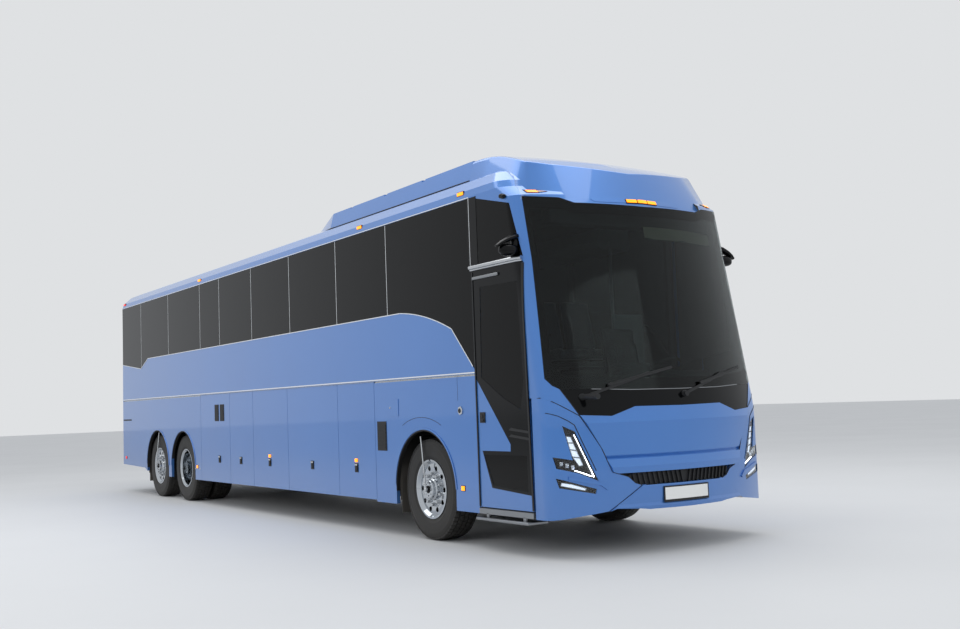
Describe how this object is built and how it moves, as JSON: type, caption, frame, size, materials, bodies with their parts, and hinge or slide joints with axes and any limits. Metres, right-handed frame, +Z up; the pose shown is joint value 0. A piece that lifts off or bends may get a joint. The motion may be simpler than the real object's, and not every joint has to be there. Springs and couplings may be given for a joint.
{
  "type": "coach bus",
  "caption": "Long-distance coach with a raked front, domed roof cap, three axles, twin drive wheels, lifting luggage doors, swinging entry door and seated cabin.",
  "frame": {"origin": "on the ground under the middle of the coach", "axes": "+Z up, +Y towards the rear, +X towards the driver's side"},
  "size_m": [3.02, 13.8588, 3.8747],
  "materials": {
    "body_paint": "metallic blue paint",
    "black_gloss": "gloss black panel",
    "tinted_glass": "dark tinted glass",
    "bright_trim": "bright anodised",
    "frame_steel": "black chassis paint",
    "engine_iron": "cast",
    "wheelhouse_plastic": "black liner",
    "floor_covering": "ribbed floor covering",
    "tail_lens": "red lens",
    "lamp_lens": "clear lamp cover",
    "amber_lens": "amber lens",
    "black_plastic": "moulded black",
    "seat_fabric": "woven",
    "dash_plastic": "grained",
    "tyre_rubber": "black rubber",
    "polished_rim": "polished aluminium"
  },
  "bodies": {
    "chassis": {"underframe": "frame_steel", "floor_deck": "floor_covering", "wheelhouses": "wheelhouse_plastic", "engine": "engine_iron", "front_axle": "frame_steel", "rear_axles": "frame_steel", "front_cap": "body_paint", "windshield": "tinted_glass", "cowl_panel": "black_gloss", "hood_panel": "body_paint", "grille": "black_gloss", "front_bumper": "body_paint", "front_corners": "body_paint", "roof_shell": "body_paint", "roof_unit": "body_paint", "side_wall_left": "body_paint", "side_wall_right": "body_paint", "body_glass": "tinted_glass", "skirt_panels": "body_paint", "flap_rails": "bright_trim", "rear_wall": "body_paint", "tail_lamps": "tail_lens", "rear_bumper": "body_paint", "headlamps": "lamp_lens", "marker_lamps": "amber_lens", "wipers": "black_plastic", "camera_pods": "black_plastic", "mud_flaps": "wheelhouse_plastic", "seats": "seat_fabric", "dashboard": "dash_plastic"},
    "knuckle_left": {"knuckle_left": "frame_steel"},
    "knuckle_right": {"knuckle_right": "frame_steel"},
    "tie_rod": {"tie_rod": "frame_steel"},
    "entry_door": {"entry_door": "body_paint", "entry_door_glass": "tinted_glass"},
    "door_arm": {"door_arm": "frame_steel"},
    "engine_hatch": {"engine_hatch": "body_paint"},
    "wheel_front_left": {"tyre_front_left": "tyre_rubber", "rim_front_left": "polished_rim"},
    "wheel_front_right": {"tyre_front_right": "tyre_rubber", "rim_front_right": "polished_rim"},
    "wheel_drive_left": {"tyre_drive_left": "tyre_rubber", "rim_drive_left": "polished_rim"},
    "wheel_drive_right": {"tyre_drive_right": "tyre_rubber", "rim_drive_right": "polished_rim"},
    "wheel_tag_left": {"tyre_tag_left": "tyre_rubber", "rim_tag_left": "polished_rim"},
    "wheel_tag_right": {"tyre_tag_right": "tyre_rubber", "rim_tag_right": "polished_rim"},
    "luggage_door_left_1": {"luggage_door_left_1": "body_paint"},
    "luggage_door_left_2": {"luggage_door_left_2": "body_paint"},
    "luggage_door_left_3": {"luggage_door_left_3": "body_paint"},
    "luggage_door_left_4": {"luggage_door_left_4": "body_paint"},
    "luggage_door_left_5": {"luggage_door_left_5": "body_paint"},
    "luggage_door_right_1": {"luggage_door_right_1": "body_paint"},
    "luggage_door_right_2": {"luggage_door_right_2": "body_paint"},
    "luggage_door_right_3": {"luggage_door_right_3": "body_paint"},
    "luggage_door_right_4": {"luggage_door_right_4": "body_paint"},
    "luggage_door_right_5": {"luggage_door_right_5": "body_paint"}
  },
  "joints": [
    {"name": "steer_left", "type": "hinge", "parent": "chassis", "child": "knuckle_left", "pos_m": [0.93, -4.45, 0.522], "axis": [0, 0, 1], "range_deg": [-40, 40]},
    {"name": "steer_right", "type": "hinge", "parent": "chassis", "child": "knuckle_right", "pos_m": [-0.93, -4.45, 0.522], "axis": [0, 0, 1], "range_deg": [-40, 40]},
    {"name": "tie_rod_pin", "type": "hinge", "parent": "knuckle_left", "child": "tie_rod", "pos_m": [0.93, -4.23, 0.45], "axis": [0, 0, 1], "range_deg": [-40, 40]},
    {"name": "roll_front_left", "type": "hinge", "parent": "knuckle_left", "child": "wheel_front_left", "pos_m": [1.122, -4.45, 0.522], "axis": [1, 0, 0], "continuous": true},
    {"name": "roll_front_right", "type": "hinge", "parent": "knuckle_right", "child": "wheel_front_right", "pos_m": [-1.122, -4.45, 0.522], "axis": [1, 0, 0], "continuous": true},
    {"name": "roll_drive_left", "type": "hinge", "parent": "chassis", "child": "wheel_drive_left", "pos_m": [1.122, 3.3, 0.522], "axis": [1, 0, 0], "continuous": true},
    {"name": "roll_drive_right", "type": "hinge", "parent": "chassis", "child": "wheel_drive_right", "pos_m": [-1.122, 3.3, 0.522], "axis": [1, 0, 0], "continuous": true},
    {"name": "roll_tag_left", "type": "hinge", "parent": "chassis", "child": "wheel_tag_left", "pos_m": [1.122, 4.67, 0.522], "axis": [1, 0, 0], "continuous": true},
    {"name": "roll_tag_right", "type": "hinge", "parent": "chassis", "child": "wheel_tag_right", "pos_m": [-1.122, 4.67, 0.522], "axis": [1, 0, 0], "continuous": true},
    {"name": "lift_left_1", "type": "hinge", "parent": "chassis", "child": "luggage_door_left_1", "pos_m": [1.297, 1.825, 1.662], "axis": [0, -1, 0], "range_deg": [0, 90]},
    {"name": "lift_left_2", "type": "hinge", "parent": "chassis", "child": "luggage_door_left_2", "pos_m": [1.297, 0.75, 1.662], "axis": [0, -1, 0], "range_deg": [0, 90]},
    {"name": "lift_left_3", "type": "hinge", "parent": "chassis", "child": "luggage_door_left_3", "pos_m": [1.297, -0.3, 1.662], "axis": [0, -1, 0], "range_deg": [0, 90]},
    {"name": "lift_left_4", "type": "hinge", "parent": "chassis", "child": "luggage_door_left_4", "pos_m": [1.297, -1.645, 1.662], "axis": [0, -1, 0], "range_deg": [0, 90]},
    {"name": "lift_left_5", "type": "hinge", "parent": "chassis", "child": "luggage_door_left_5", "pos_m": [1.297, -2.86, 1.662], "axis": [0, -1, 0], "range_deg": [0, 90]},
    {"name": "lift_right_1", "type": "hinge", "parent": "chassis", "child": "luggage_door_right_1", "pos_m": [-1.297, 1.825, 1.662], "axis": [0, 1, 0], "range_deg": [0, 90]},
    {"name": "lift_right_2", "type": "hinge", "parent": "chassis", "child": "luggage_door_right_2", "pos_m": [-1.297, 0.75, 1.662], "axis": [0, 1, 0], "range_deg": [0, 90]},
    {"name": "lift_right_3", "type": "hinge", "parent": "chassis", "child": "luggage_door_right_3", "pos_m": [-1.297, -0.3, 1.662], "axis": [0, 1, 0], "range_deg": [0, 90]},
    {"name": "lift_right_4", "type": "hinge", "parent": "chassis", "child": "luggage_door_right_4", "pos_m": [-1.297, -1.645, 1.662], "axis": [0, 1, 0], "range_deg": [0, 90]},
    {"name": "lift_right_5", "type": "hinge", "parent": "chassis", "child": "luggage_door_right_5", "pos_m": [-1.297, -2.86, 1.662], "axis": [0, 1, 0], "range_deg": [0, 90]},
    {"name": "engine_hatch_hinge", "type": "hinge", "parent": "chassis", "child": "engine_hatch", "pos_m": [0, 6.9195, 1.662], "axis": [1, 0, 0], "range_deg": [0, 85]},
    {"name": "door_arm_swing", "type": "hinge", "parent": "chassis", "child": "door_arm", "pos_m": [-1.18, -6.27, 1.2], "axis": [0, 0, 1], "range_deg": [0, 150]},
    {"name": "entry_door_pivot", "type": "hinge", "parent": "door_arm", "child": "entry_door", "pos_m": [-1.18, -5.855, 1.2], "axis": [0, 0, 1], "range_deg": [-150, 0]}
  ],
  "couplings": [
    {"joint": "steer_right", "follows": "steer_left", "ratio": 1},
    {"joint": "tie_rod_pin", "follows": "steer_left", "ratio": -1},
    {"joint": "entry_door_pivot", "follows": "door_arm_swing", "ratio": -1}
  ]
}
